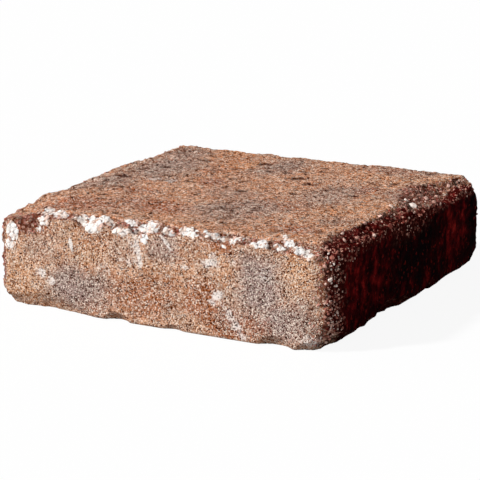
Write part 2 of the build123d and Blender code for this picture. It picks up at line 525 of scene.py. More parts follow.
CHARCOAL_CLOUDS = [
    ("front", -44, 20, 13, 12, 1.0),
    ("front", -59, 13, 29, 9, 0.30),
    ("front", 3, 9, 38, 8, 0.75),
    ("front", -18, 8, 35, 8, 0.30),
    ("front", 53, 15, 28, 17, 0.95),
    ("front", 68, 18, 13, 12, 0.90),
    ("front", 40, 9, 14, 9, 0.40),
    ("top", -74, 18, -18, 24, 0.85),
    ("top", -62, 24, 26, 32, 0.85),
    ("top", -70, 16, 60, 20, 0.80),
    ("top", -10, 16, 54, 24, 0.80),
    ("top", 15, 23, -42, 30, 0.80),
    ("top", 42, 18, 6, 26, 0.72),
    ("top", -2, 20, -14, 14, 0.60),
    ("top", 66, 12, -40, 10, 0.40),
    ("top", 52, 26, 74, 16, 0.45),
    ("top", 74, 14, 30, 22, 0.70),
    ("back", 60, 26, 20, 18, 0.9),
    ("back", -10, 18, 10, 12, 0.5),
    ("left", -66, 20, 18, 16, 0.8),
    ("left", 20, 18, 12, 10, 0.6),
]
LIME_CLOUDS = [
    ("front", -11, 5, 36, 8, 0.40),
    ("front", 27.4, 5.5, 33.9, 2.8, 0.80),
    ("front", 29.0, 2.8, 37.3, 2.4, 0.60),
    ("front", 33.5, 4.2, 20.9, 3.0, 0.85),
    ("front", 30.6, 3.0, 17.9, 2.0, 0.65),
    ("front", 39.1, 3.4, 35.9, 2.2, 0.55),
    ("front", -63.4, 3.4, 18.3, 2.4, 0.70),
    ("front", -57.5, 3.4, 15.8, 2.4, 0.70),
    ("front", 78.0, 6.0, 4.5, 4.5, 0.62),
    ("front", 14.5, 5.0, 30.9, 1.6, 0.55),
    ("front", -14.0, 8.0, 29.6, 1.6, 0.50),
    ("front", 56, 4, 32, 4, 0.40),
    ("front", -28, 5, 25, 3.5, 0.40),
    ("top", -52.7, 5, -1.1, 7, 0.55),
    ("top", -43.7, 5, -1.5, 6, 0.60),
    ("top", -35.0, 3, -47.5, 4, 0.45),
    ("top", 55.2, 3, 52.6, 6, 0.35),
    ("top", 31.0, 4, 39.3, 8, 0.35),
    ("top", 63.3, 9, -65.8, 6, 0.35),
    ("back", 10, 12, 30, 8, 0.5),
    ("left", -20, 10, 20, 7, 0.5),
]
# Dark red matrix, bared where corners and arrises broke
BARED_CLOUDS = [
    ("front", -70, 11, 43, 9, 0.50),
    ("front", 87, 4, 26, 24, 0.42),
    ("right", -85, 5, 24, 26, 0.50),
    ("top", 74, 14, 36, 26, 0.50),
    ("front", 14, 12, 47, 3, 0.45),
    ("front", -48, 10, 46, 3, 0.45),
]
# Brighter red runs, and the near-black ground between them, in the painted shade of the right-hand face
RED_RUNS = [
    ("right", -66, 10, 30, 22, 0.55),
    ("right", -40, 4, 26, 16, 0.9),
    ("right", -52, 3, 20, 14, 0.5),
    ("right", 52, 10, 26, 22, 0.7),
    ("right", 66, 4, 30, 22, 0.6),
]
BLACK_CLOUDS = [
    ("right", -75, 6, 34, 14, 0.6),
    ("right", 5, 26, 30, 20, 0.9),
    ("right", 78, 7, 24, 22, 0.8),
    ("right", -80, 5, 10, 10, 0.8),
]
# Patches of bared pale stone along the front's top arris, as they stand seen along the photograph's line
# of sight: (x, z, half length, half height, paleness)
PALE_PATCHES = [
    (-58.5, 48.3, 2.5, 2.6, 0.80),
    (-60.9, 43.3, 2.0, 1.9, 1.00),
    (-63.3, 39.2, 1.4, 1.0, 1.00),
    (-51.3, 47.7, 3.9, 1.4, 0.80),
    (-42.4, 46.8, 1.7, 0.9, 0.80),
    (-38.6, 46.8, 2.2, 1.9, 0.90),
    (-34.3, 44.5, 2.7, 3.3, 1.00),
    (-31.0, 45.8, 2.2, 2.4, 1.00),
    (-27.1, 48.1, 2.7, 1.4, 0.90),
    (-23.9, 46.6, 1.6, 1.6, 1.00),
    (-18.0, 43.6, 4.0, 1.9, 0.60),
    (-12.6, 48.9, 2.7, 1.4, 0.75),
    (-5.2, 46.5, 3.2, 1.9, 0.65),
    (-1.0, 48.4, 2.4, 1.9, 0.75),
    (-6.3, 41.7, 1.9, 2.1, 0.60),
    (6.4, 47.0, 2.6, 1.6, 0.65),
    (17.8, 47.4, 4.6, 1.8, 0.75),
    (26.5, 48.0, 1.5, 1.4, 0.75),
    (31.5, 47.2, 2.0, 1.1, 0.85),
    (35.6, 46.8, 1.5, 1.4, 0.90),
    (35.1, 43.1, 1.0, 0.7, 0.80),
    (40.1, 46.5, 1.8, 1.4, 0.95),
    (43.6, 47.8, 1.5, 0.9, 0.90),
    (50.6, 45.5, 2.2, 1.1, 0.95),
    (55.5, 46.5, 2.0, 1.8, 1.00),
    (62.9, 46.1, 2.4, 1.3, 0.95),
    (66.3, 51.0, 1.2, 1.1, 0.80),
    (68.2, 48.1, 2.2, 1.8, 0.80),
    (73.1, 45.6, 2.9, 1.6, 1.00),
    (76.9, 44.3, 2.2, 1.8, 1.00),
    (-78.8, 35.9, 2.6, 3.6, 1.00),
    (-80.2, 30.3, 2.2, 2.4, 0.95),
]
# Pale scrapes across the front face, each from one place to another: (x, z, x, z, half width, strength)
FRONT_SCRAPES = [
    (-12.5, 45.0, -10.0, 37.0, 1.8, 0.62),
    (-10.5, 37.0, -7.5, 29.0, 2.2, 0.72),
    (-15.5, 42.0, -12.0, 35.0, 1.0, 0.50),
    (3.0, 44.0, 7.0, 38.5, 1.0, 0.70),
    (35.0, 17.0, 38.0, 12.5, 1.4, 0.45),
    (38.0, 12.5, 41.5, 8.5, 1.9, 0.58),
    (41.5, 8.5, 45.5, 3.0, 2.3, 0.62),
    (-46.3, 35.5, -45.6, 30.5, 0.9, 1.2),
]


def cloud_layer(points, clouds, warp):
    """How strong a pigment is at each point, from its clouds."""
    x, y, z = (points + warp).T / MM
    across = {"front": x, "top": x, "back": x, "left": y, "right": y}
    along = {"front": z, "top": y, "back": z, "left": z, "right": z}
    inward = {
        "front": points[:, 1] / MM + HALF_DEPTH / MM,
        "top": (THICKNESS - points[:, 2]) / MM,
        "back": HALF_DEPTH / MM - points[:, 1] / MM,
        "left": points[:, 0] / MM + HALF_WIDTH / MM,
        "right": HALF_WIDTH / MM - points[:, 0] / MM,
    }
    layer = np.zeros(len(points))
    for face, place_across, reach_across, place_along, reach_along, strength in clouds:
        first = (across[face] - place_across) / reach_across
        second = (along[face] - place_along) / reach_along
        near = np.sqrt(first**2 + second**2 + (inward[face] / 9.0) ** 2)
        layer = np.maximum(layer, strength * smooth(-near, -1.35, -0.35))
    return layer


def patch_layer(points):
    """How pale the bared stone is at each point near the front face."""
    inward = points[:, 1] + HALF_DEPTH
    x = (points[:, 0] + inward * math.tan(CAMERA_AZIMUTH)) / MM
    z = (points[:, 2] + inward * math.tan(CAMERA_ELEVATION) / math.cos(CAMERA_AZIMUTH)) / MM
    x += noise_at(points, 3.0, 91.0) * 0.7
    z += noise_at(points, 3.0, 95.0) * 0.7
    layer = np.zeros(len(points))
    for place_x, place_z, half_length, half_height, paleness in PALE_PATCHES:
        near = np.sqrt(((x - place_x) / half_length) ** 2 + ((z - place_z) / half_height) ** 2)
        layer = np.maximum(layer, paleness * smooth(-near, -1.5, -0.8))
    return layer * (inward < 14 * MM)


def scrape_layer(points):
    """How strong the pale scrapes of the front face are at each point."""
    x, y, z = points.T / MM
    layer = np.zeros(len(points))
    for x0, z0, x1, z1, half_width, strength in FRONT_SCRAPES:
        run_x, run_z = x1 - x0, z1 - z0
        share = np.clip(((x - x0) * run_x + (z - z0) * run_z) / (run_x**2 + run_z**2), 0, 1)
        away = np.sqrt((x - x0 - share * run_x) ** 2 + (z - z0 - share * run_z) ** 2)
        layer = np.maximum(layer, strength * smooth(-away, -half_width * 1.5, -half_width * 0.4))
    return layer * (y < -HALF_DEPTH / MM + 4)


def paint_pigments(mesh, points, normals, patches):
    """Paints where each pigment and the lime bloom lie, and the painted shade of the right-hand face."""
    warp = np.stack([noise_at(points, 13.0, 40.0 + 9 * i) * 4.5 * MM for i in range(3)], 1)
    warp += np.stack([noise_at(points, 4.0, 80.0 + 9 * i) * 2.0 * MM for i in range(3)], 1)
    drift = noise_at(points, 26.0, 61.0)
    drift_two = noise_at(points, 19.0, 67.0)
    lime = cloud_layer(points, LIME_CLOUDS, warp * 0.5)
    lime = np.maximum(lime, scrape_layer(points + warp * 0.45))
    layers = {
        "rust": 1.3 * cloud_layer(points, RUST_CLOUDS, warp) + 0.35 * drift,
        "ochre": cloud_layer(points, OCHRE_CLOUDS, warp) + 0.25 * drift_two,
        "charcoal": cloud_layer(points, CHARCOAL_CLOUDS, warp) - 0.25 * drift,
        "lime": np.maximum(lime, 0.4 * patches),
        "patches": patches,
        # Painted shade: where the right-hand side is dark red
        "dark_side_shade": dark_side_shade_layer(points, normals),
        "bared_red": cloud_layer(points, BARED_CLOUDS, warp),
        "red_runs": cloud_layer(points, RED_RUNS, warp * 0.5) + 0.3 * drift,
        "black": cloud_layer(points, BLACK_CLOUDS, warp) + 0.3 * drift_two,
    }
    for name, layer in layers.items():
        paint(mesh, name, np.clip(layer, 0, 1))


# Finish of the stone: the sizes of its patterns, mm. The grains are drawn up to twice as coarse as the sand
# of a real mix, 0.2 to 1 mm, so that they stay clear at the size of a picture.
SAND_MM = 0.5
CRUMB_MM = 0.8
CRUSHED_MM = 1.2
COARSE_SAND_MM = 1.3
STIR_MM = 1.6
GRAVEL_MM = 2.0
LIME_MM = 2.0
PORE_MM = 2.8
STREAK_MM = 4.5
MOTTLE_MM = 6.0
STIR_REACH = 0.9 * MM            # how far the crushed grains are pushed out of shape
BUMP_DEPTH = 0.4 * MM

# The body, and the pigments over it, each with its colour and strength
BODY = linear("#cf9975")
PIGMENTS = [
    ("ochre", linear("#e2a470"), 1.0),
    ("rust", linear("#a95c2a"), 0.90),
    ("charcoal", linear("#948080"), 0.85),
]
WORN_TOP = (1.16, 0.95, 0.80, 1.0)       # multiplies the colour of the top

# What shows between and over the pigments
INSIDE = linear("#8e4a33")
BARE_GRAIN = linear("#ffeedd")
DARK_MATRIX = linear("#54200f")
LIGHT_MATRIX = linear("#96503a")
# Painted shade, with the matrix, between the pale stones of the front's top arris
GRAVEL_GAP_SHADE = linear("#4c1c0e")
RED_FLECK = linear("#a02c24")
# Painted shade, a lighter dark red where the right-hand side broke
BROKEN_DARK_SIDE_SHADE = linear("#641a16")
LIME = linear("#fff6f0")
# Painted shade in the pores of the wearing face
PORE = linear("#3a140b")
# Painted shade in the pits, hollows and creases, and between bared stones
RECESS_SHADE_COLOUR = linear("#3a160e")

# How much of each kind of grain the sides show, and how much more or less of it the top shows
GRAIN_SHARES = {
    "fine": (1.0, -0.12),
    "coarse": (0.20, 0.22),
    "bare": (1.0, -0.05),
}

# What the stone's points are painted with, for its material to read
PAINTED = [
    "wearing_face", "broken", "recess_shade", "rust", "ochre", "charcoal", "lime", "patches", "dark_side_shade", "bared_red",
    "red_runs", "black",
]


def mixed_body(tree, place, painted):
    """The buff body under its clouds of pigment. The top, which was struck and worn, is warmer and deeper
    than the sides. The mixes mottle it, and where an arris broke its inside is redder and darker."""
    colour = BODY
    for pigment, tint, strength in PIGMENTS:
        amount = node(tree, "ShaderNodeMath", {0: painted[pigment], 1: strength}, operation="MULTIPLY")
        colour = node(tree, "ShaderNodeMix", {AMOUNT: amount, UNDER: colour, OVER: tint}, data_type="RGBA")
    mottle = node(tree, "ShaderNodeTexNoise", {"Vector": place, "Scale": scale_of(MOTTLE_MM), "Detail": 5.0})
    mottle = node(tree, "ShaderNodeMapRange", {VALUE: mottle, START: 0.3, END: 0.7, FIRST: 0.80, LAST: 1.19})
    for amount, shade in ((painted["wearing_face"], WORN_TOP), (1.0, mottle)):
        colour = node(tree, "ShaderNodeMix", {AMOUNT: amount, UNDER: colour, OVER: shade},
                      data_type="RGBA", blend_type="MULTIPLY")
    amount = node(tree, "ShaderNodeMath", {0: painted["broken"], 1: 0.55}, operation="MULTIPLY")
    return node(tree, "ShaderNodeMix", {AMOUNT: amount, UNDER: colour, OVER: INSIDE}, data_type="RGBA")


def grain_cells(tree, place):
    """The grains: every cell is one. The crushed grains and the gravel are stirred, so that their shapes
    are uneven. Some of the crushed ones, tan, pink and cream, are bared where an arris broke."""
    stir = node(tree, "ShaderNodeTexNoise", {"Vector": place, "Scale": scale_of(STIR_MM), "Detail": 3.0})
    stir = stir.outputs["Color"]
    stirred = node(tree, "ShaderNodeMix", {AMOUNT: STIR_REACH, UNDER_PLACE: place, OVER_PLACE: stir},
                   data_type="VECTOR")
    cells = {"place": place, "stir": stir, "stirred": stirred}
    for name, where, size_mm in (
        ("sand", place, SAND_MM),
        ("coarse_sand", place, COARSE_SAND_MM),
        ("crushed", stirred, CRUSHED_MM),
        ("gravel", stirred, GRAVEL_MM),
    ):
        cells[name] = node(tree, "ShaderNodeTexVoronoi", {"Vector": where, "Scale": scale_of(size_mm)})
    chances = node(tree, "ShaderNodeSeparateColor", {0: cells["crushed"].outputs["Color"]})
    cells["bared"] = node(tree, "ShaderNodeMapRange", {VALUE: chances.outputs[0], START: 0.76, END: 0.82})
    cells["bared_colour"] = node(tree, "ShaderNodeValToRGB", {0: chances.outputs[1]}, stops=[
        (0.0, linear("#5a1c1a")),
        (0.35, linear("#944e44")),
        (0.70, linear("#cf8a78")),
        (1.0, linear("#f4c0aa")),
    ])
    cells["crushed_chances"] = chances
    return cells


def shade_of(value):
    """A shade to multiply a colour by, warmer the darker it is: painted shade in the pores, warm as light
    bounced between the grains would make it.
    """
    return (value, value ** 1.55, value ** 2.0, 1.0)


def speckled(tree, colour, grain, strength, bareness):
    """A colour broken up into grains: dark grains and pores with painted shade in them, plain ones, and bare
    pale ones.
    """
    chances = node(tree, "ShaderNodeSeparateColor", {0: grain.outputs["Color"]})
    shade = node(tree, "ShaderNodeValToRGB", {0: chances.outputs[0]}, stops=[
        (0.0, shade_of(0.08)), (0.19, shade_of(0.20)), (0.30, shade_of(0.78)), (0.60, shade_of(1.0)),
        (1.0, shade_of(1.08)),
    ])
    grains = node(tree, "ShaderNodeMix", {AMOUNT: strength, UNDER: colour, OVER: shade},
                  data_type="RGBA", blend_type="MULTIPLY")
    pale = node(tree, "ShaderNodeMix", {AMOUNT: 0.78, UNDER: colour, OVER: BARE_GRAIN}, data_type="RGBA")
    lift = node(tree, "ShaderNodeMapRange", {VALUE: chances.outputs[0], START: 0.58, LAST: 0.36})
    bare = node(tree, "ShaderNodeMapRange", {VALUE: chances.outputs[1], START: 0.79, END: 0.84})
    lift = node(tree, "ShaderNodeMath", {0: lift, 1: bare}, operation="MAXIMUM")
    for share in (bareness, strength):
        lift = node(tree, "ShaderNodeMath", {0: lift, 1: share}, operation="MULTIPLY")
    return node(tree, "ShaderNodeMix", {AMOUNT: lift, UNDER: grains, OVER: pale}, data_type="RGBA")


def sandy_skin(tree, colour, cells, painted):
    """The colour broken up into fine and coarse sand, with the dark red matrix and the bared grains that
    the broken places show between them."""
    shares = {
        kind: node(tree, "ShaderNodeMath", {0: painted["wearing_face"], 1: added, 2: share},
                   operation="MULTIPLY_ADD")
        for kind, (share, added) in GRAIN_SHARES.items()
    }
    colour = speckled(tree, colour, cells["sand"], shares["fine"], shares["bare"])

    lightness, which = cells["crushed_chances"].outputs[1:]
    red = node(tree, "ShaderNodeMath", {0: painted["broken"], 1: 0.40, 2: painted["bared_red"]},
               operation="MULTIPLY_ADD")
    matrix = node(tree, "ShaderNodeMath", {0: which, 1: 0.6, 2: red}, operation="MULTIPLY_ADD")
    matrix = node(tree, "ShaderNodeMapRange", {VALUE: matrix, START: 0.80, END: 0.95, LAST: 0.85})
    red_brown = node(tree, "ShaderNodeMix", {AMOUNT: lightness, UNDER: DARK_MATRIX, OVER: LIGHT_MATRIX},
                     data_type="RGBA")
    colour = node(tree, "ShaderNodeMix", {AMOUNT: matrix, UNDER: colour, OVER: red_brown}, data_type="RGBA")

    few = node(tree, "ShaderNodeMath", {0: red, 1: 1.2}, operation="MULTIPLY", use_clamp=True)
    few = node(tree, "ShaderNodeMath", {0: cells["bared"], 1: few}, operation="MULTIPLY")
    colour = node(tree, "ShaderNodeMix", {AMOUNT: few, UNDER: colour, OVER: cells["bared_colour"]},
                  data_type="RGBA")
    return speckled(tree, colour, cells["coarse_sand"], shares["coarse"], shares["bare"])


def dark_side_shade_over(tree, colour, cells, painted):
    """The right-hand face, painted dark red in streaks as its shade, away from the key light. This painted
    shade lies on what faces right, so the sides of grains that face the other way keep the colour of the
    mix."""
    runs = node(tree, "ShaderNodeMapping", {"Vector": cells["place"], "Scale": (1.0, 1.0, 0.75)})
    streak = node(tree, "ShaderNodeTexNoise", {"Vector": runs, "Scale": scale_of(STREAK_MM), "Detail": 6.0})
    for name, share in (("red_runs", 0.16), ("black", -0.22)):
        streak = node(tree, "ShaderNodeMath", {0: painted[name], 1: share, 2: streak},
                      operation="MULTIPLY_ADD")
    dark_red = node(tree, "ShaderNodeValToRGB", {0: streak}, stops=[
        (0.30, linear("#080102")),
        (0.46, linear("#220305")),
        (0.58, linear("#44060a")),
        (0.68, linear("#6c1012")),
        (0.80, linear("#982420")),
    ])
    flecks = node(tree, "ShaderNodeSeparateColor", {0: cells["coarse_sand"].outputs["Color"]})
    dark_fleck = node(tree, "ShaderNodeMapRange", {VALUE: flecks.outputs[0], END: 0.5, FIRST: 0.55})
    dark_red = node(tree, "ShaderNodeMix", {AMOUNT: 1.0, UNDER: dark_red, OVER: dark_fleck},
                    data_type="RGBA", blend_type="MULTIPLY")
    fleck = node(tree, "ShaderNodeMapRange", {VALUE: flecks.outputs[1], START: 0.92, END: 0.98, LAST: 0.4})
    inside = node(tree, "ShaderNodeMath", {0: painted["broken"], 1: 0.5}, operation="MULTIPLY")
    few = node(tree, "ShaderNodeMath", {0: cells["bared"], 1: painted["broken"]}, operation="MULTIPLY")
    for amount, tint in ((fleck, RED_FLECK), (inside, BROKEN_DARK_SIDE_SHADE), (few, cells["bared_colour"])):
        dark_red = node(tree, "ShaderNodeMix", {AMOUNT: amount, UNDER: dark_red, OVER: tint},
                        data_type="RGBA")

    # Painted shade: only what faces right, away from the key light, is darkened
    normal = node(tree, "ShaderNodeNewGeometry").outputs["Normal"]
    rightward = node(tree, "ShaderNodeSeparateXYZ", {0: normal})
    facing = node(tree, "ShaderNodeMapRange", {VALUE: rightward, START: -0.30, END: 0.05})
    dark_side_shade = node(tree, "ShaderNodeMath", {0: painted["dark_side_shade"], 1: facing}, operation="MULTIPLY")
    return node(tree, "ShaderNodeMix", {AMOUNT: dark_side_shade, UNDER: colour, OVER: dark_red}, data_type="RGBA")


def pale_gravel(tree, cells, painted):
    """Crushed pale stone bared along the front's top arris, with the matrix in some of its gaps, darkened
    there as painted shade: where it shows, and its colour."""
    gaps = node(tree, "ShaderNodeTexVoronoi", {"Vector": cells["stirred"], "Scale": scale_of(GRAVEL_MM)},
                feature="DISTANCE_TO_EDGE").outputs["Distance"]
    gap = node(tree, "ShaderNodeMapRange", {VALUE: gaps, START: 0.03, END: 0.18, FIRST: 0.9, LAST: 0.0})
    stirring = node(tree, "ShaderNodeSeparateColor", {0: cells["stir"]})
    open_gap = node(tree, "ShaderNodeMapRange", {VALUE: stirring, START: 0.48, END: 0.60})
    gap = node(tree, "ShaderNodeMath", {0: gap, 1: open_gap}, operation="MULTIPLY")

    chances = node(tree, "ShaderNodeSeparateColor", {0: cells["gravel"].outputs["Color"]})
    colour = node(tree, "ShaderNodeValToRGB", {0: chances.outputs[0]}, stops=[
        (0.0, linear("#b07458")),
        (0.18, linear("#dcb8a2")),
        (0.42, linear("#faf0e8")),
        (1.0, linear("#ffffff")),
    ])
    # Painted shade, with the matrix, in some gaps between the pale stones
    colour = node(tree, "ShaderNodeMix", {AMOUNT: gap, UNDER: colour, OVER: GRAVEL_GAP_SHADE}, data_type="RGBA")
    shown = node(tree, "ShaderNodeMath", {0: chances.outputs[1], 1: 0.6, 2: painted["patches"]},
                 operation="MULTIPLY_ADD")
    shown = node(tree, "ShaderNodeMapRange", {VALUE: shown, START: 0.60, END: 0.66, LAST: 0.96})
    return shown, colour


def lime_bloom(tree, cells, painted):
    """Where lime has bloomed, broken up by the grains."""
    cloudy = node(tree, "ShaderNodeTexNoise", {
        "Vector": cells["place"], "Scale": scale_of(LIME_MM), "Detail": 6.0, "Roughness": 0.7,
    })
    cell = node(tree, "ShaderNodeSeparateColor", {0: cells["sand"].outputs["Color"]})
    bloom = node(tree, "ShaderNodeMath", {0: painted["lime"], 1: cloudy}, operation="ADD")
    bloom = node(tree, "ShaderNodeMath", {0: cell, 1: 0.45, 2: bloom}, operation="MULTIPLY_ADD")
    return node(tree, "ShaderNodeMapRange", {VALUE: bloom, START: 1.10, END: 1.60, LAST: 0.90})


def open_pores(tree, cells, painted):
    """Where the wearing face has open pores, painted dark as their shade."""
    pores = node(tree, "ShaderNodeTexNoise", {
        "Vector": cells["stirred"], "Scale": scale_of(PORE_MM), "Detail": 3.0,
    })
    pores = node(tree, "ShaderNodeMapRange", {VALUE: pores, START: 0.60, END: 0.66, LAST: 0.90})
    return node(tree, "ShaderNodeMath", {0: pores, 1: painted["wearing_face"]}, operation="MULTIPLY")


def grainy_bump(tree, cells, gravel):
    """Relief too fine for the mesh, weaker on the bared gravel."""
    rise = node(tree, "ShaderNodeTexNoise", {
        "Vector": cells["place"], "Scale": scale_of(CRUMB_MM), "Detail": 3.0,
    })
    for name in ("sand", "coarse_sand"):
        rise = node(tree, "ShaderNodeMath", {0: cells[name].outputs["Distance"], 1: -0.8, 2: rise},
                    operation="MULTIPLY_ADD")
    strength = node(tree, "ShaderNodeMath", {0: gravel, 1: -0.6, 2: 1.0}, operation="MULTIPLY_ADD")
    return node(tree, "ShaderNodeBump", {"Height": rise, "Strength": strength, "Distance": BUMP_DEPTH})


def stone_material():
    """Dry-cast pigmented concrete, tumbled: an open, sandy face with no shine, on which sand grains
    catch the light, and pores and hollows are painted dark as their shade; colours run into each other in
    clouds, as the mixes were blended; broken arrises show the rougher inside, lime has bloomed in places,
    and the right-hand side is painted dark red as its shade."""
    material, tree = new_material("tumbled_dry_cast_concrete")
    place = node(tree, "ShaderNodeTexCoord").outputs["Object"]
    painted = {}
    for name in PAINTED:
        painted[name] = node(tree, "ShaderNodeAttribute", attribute_name=name).outputs["Fac"]
    cells = grain_cells(tree, place)
    gravel, gravel_colour = pale_gravel(tree, cells, painted)
    # Painted shade in the recesses
    recess_shading = node(tree, "ShaderNodeMath", {0: painted["recess_shade"], 1: 0.85}, operation="MULTIPLY")

    colour = mixed_body(tree, place, painted)
    colour = sandy_skin(tree, colour, cells, painted)
    colour = dark_side_shade_over(tree, colour, cells, painted)
    # Painted shade comes last: in the pores of the wearing face, and in the recesses
    for amount, tint in (
        (gravel, gravel_colour),
        (lime_bloom(tree, cells, painted), LIME),
        (open_pores(tree, cells, painted), PORE),
        (recess_shading, RECESS_SHADE_COLOUR),
    ):
        colour = node(tree, "ShaderNodeMix", {AMOUNT: amount, UNDER: colour, OVER: tint}, data_type="RGBA")
    skin = node(tree, "ShaderNodeBsdfPrincipled", {
        "Base Color": colour,
        "Roughness": 0.97,
        "Specular IOR Level": 0.01,
        "Normal": grainy_bump(tree, cells, gravel),
    })
    node(tree, "ShaderNodeOutputMaterial", {"Surface": skin})
    return material


# Aggregate: the crushed stones of the mix, bared where the arrises broke

CHIP_SHAPES = 9
CHIP_RADIUS = 1.1
CHIP_ROUGHNESS = 0.22
CHIP_FACETS = 3
CHIP_FACET_REACH = (0.55, 0.8)   # how far from its middle a chip's broken flats are, least and most
CHIP_DOUBLES_WITHIN = 0.2
CHIP_LENGTHS = (0.75, 1.3)       # length and breadth of a chip beside its nominal size, least and most
CHIP_BREADTHS = (0.75, 1.1)
CHIP_TILT = 0.45                 # how far a chip leans at most, radians


def chip_shape(number):
    """One crushed stone, about 2 across, with a few broken flats. Its points and faces."""
    chance = random.Random(100 + number)
    bpy.ops.object.select_all(action="DESELECT")
    bpy.ops.mesh.primitive_ico_sphere_add(subdivisions=1, radius=CHIP_RADIUS)
    piece = bpy.context.object
    bpy.ops.object.mode_set(mode="EDIT")
    bpy.ops.mesh.select_all(action="SELECT")
    bpy.ops.transform.vertex_random(offset=CHIP_ROUGHNESS, uniform=0.7, normal=0.2, seed=number)
    for _ in range(CHIP_FACETS):
        facing = Vector([chance.gauss(0, 1) for _ in range(3)]).normalized()
        flat = facing * chance.uniform(*CHIP_FACET_REACH)
        bpy.ops.mesh.select_all(action="SELECT")
        bpy.ops.mesh.bisect(plane_co=flat, plane_no=facing, use_fill=True, clear_outer=True)
    bpy.ops.mesh.select_all(action="SELECT")
    bpy.ops.mesh.remove_doubles(threshold=CHIP_DOUBLES_WITHIN)
    bpy.ops.mesh.quads_convert_to_tris()
    bpy.ops.mesh.normals_make_consistent(inside=False)
    bpy.ops.object.mode_set(mode="OBJECT")
    points = np.array([v.co[:] for v in piece.data.vertices])
    faces = [tuple(polygon.vertices) for polygon in piece.data.polygons]
    bpy.data.objects.remove(piece)
    return points, faces


def scatter(name, shapes, seats, chance):
    """One joined mesh of chips, each on a seat: (place, normal, size, height, share buried, tone)."""
    points, faces, tones = [], [], []
    count = 0
    for place, normal, size, height, buried, tone in seats:
        shape_points, shape_faces = shapes[chance.randrange(len(shapes))]
        length = size / 2 * chance.uniform(*CHIP_LENGTHS)
        breadth = size / 2 * chance.uniform(*CHIP_BREADTHS)
        stretch = Matrix.Diagonal((length, breadth, height / 2))
        spin = Matrix.Rotation(chance.uniform(0, 2 * math.pi), 3, "Z")
        tilt = Matrix.Rotation(chance.uniform(-CHIP_TILT, CHIP_TILT), 3, "X")
        stand = Vector(normal).to_track_quat("Z", "Y").to_matrix()
        form = np.array(stand @ tilt @ spin @ stretch)
        centre = np.array(place) + np.array(normal) * height * (0.5 - buried)
        points.append(shape_points @ form.T + centre)
        faces += [tuple(i + count for i in face) for face in shape_faces]
        tones += [tone] * len(shape_points)
        count += len(shape_points)
    mesh = bpy.data.meshes.new(name)
    mesh.from_pydata(np.concatenate(points).tolist(), [], faces)
    paint(mesh, "tone", tones)
    piece = bpy.data.objects.new(name, mesh)
    bpy.context.collection.objects.link(piece)
    return piece


def layer_of(mesh, name):
    """The values of one painted attribute."""
    layer = np.empty(len(mesh.vertices), dtype=np.float32)
    mesh.attributes[name].data.foreach_get("value", layer)
    return layer


BARE_FROM = 3.0 * MM             # height above the base below which no stone is bared
NEAR_ARRIS = -78 * MM            # in front of this, the painted shade of the right-hand side is on the near upright arris
NEAR_ARRIS_CROWDED = 2.5         # how much oftener a stone is tried there
STONE_CROWDING = 0.78            # how close two stones come, as a share of half their sizes together
MOST_STONES = 20000
# Sizes of the bared stones, mm, and how often each is tried: in the pale patches, in the painted shade of
# the right-hand side, elsewhere
STONE_SIZES = [
    (2.6, 0.025, 0.000, 0.000),
    (2.0, 0.040, 0.003, 0.003),
    (1.4, 0.050, 0.015, 0.020),
    (1.0, 0.050, 0.050, 0.060),
    (0.7, 0.040, 0.080, 0.060),
]
# How a bared stone sits: its height beside its size, and how much of that is buried
SET_SEAT = (0.6, 0.45)
PATCH_SEAT = (0.3, 0.5)
NEAR_ARRIS_SEAT = (1.0, 0.3)
OTHER_SEAT = (0.6, 0.5)
# Tones of the bared stones, from dark red at 0 to cream at 1
NEAR_ARRIS_TONES = (0.2, 0.35, 0.45, 0.55, 0.6, 0.7, 0.8)
DARK_SIDE_SHADE_TONES = (0.0, 0.1, 0.15, 0.2, 0.3, 0.35, 0.4, 0.5, 0.65)
OTHER_TONES = (0.25, 0.35, 0.4, 0.5, 0.55, 0.65)
# Stones that stand out in the photograph, each as (x, y, z, size, tone), mm
SET_STONES = [
    (76.7, 18.2, 47.5, 2.4, 0.78),
    (81.5, 15.6, 46.1, 3.8, 0.80),
    (77.2, -0.5, 48.0, 2.6, 0.72),
    (80.9, 33.0, 45.5, 2.8, 0.60),
    (79.4, 49.1, 43.6, 3.4, 0.58),
    (85.2, 31.6, 44.3, 2.2, 0.55),
    (84.0, -52.5, 44.8, 2.2, 0.52),
    (85.0, -37.5, 43.0, 2.4, 0.66),
    (78.4, -57.4, 47.5, 2.4, 0.64),
    (79.4, -18.8, 47.3, 3.0, 0.62),
    (86.6, -23.6, 44.4, 2.8, 0.28),
    (82.1, -63.0, 46.0, 2.0, 0.60),
    (80.2, -35.8, 47.2, 2.2, 0.58),
    (80.4, 62.0, 45.3, 2.0, 0.60),
    (80.5, 73.7, 46.1, 1.8, 0.55),
]


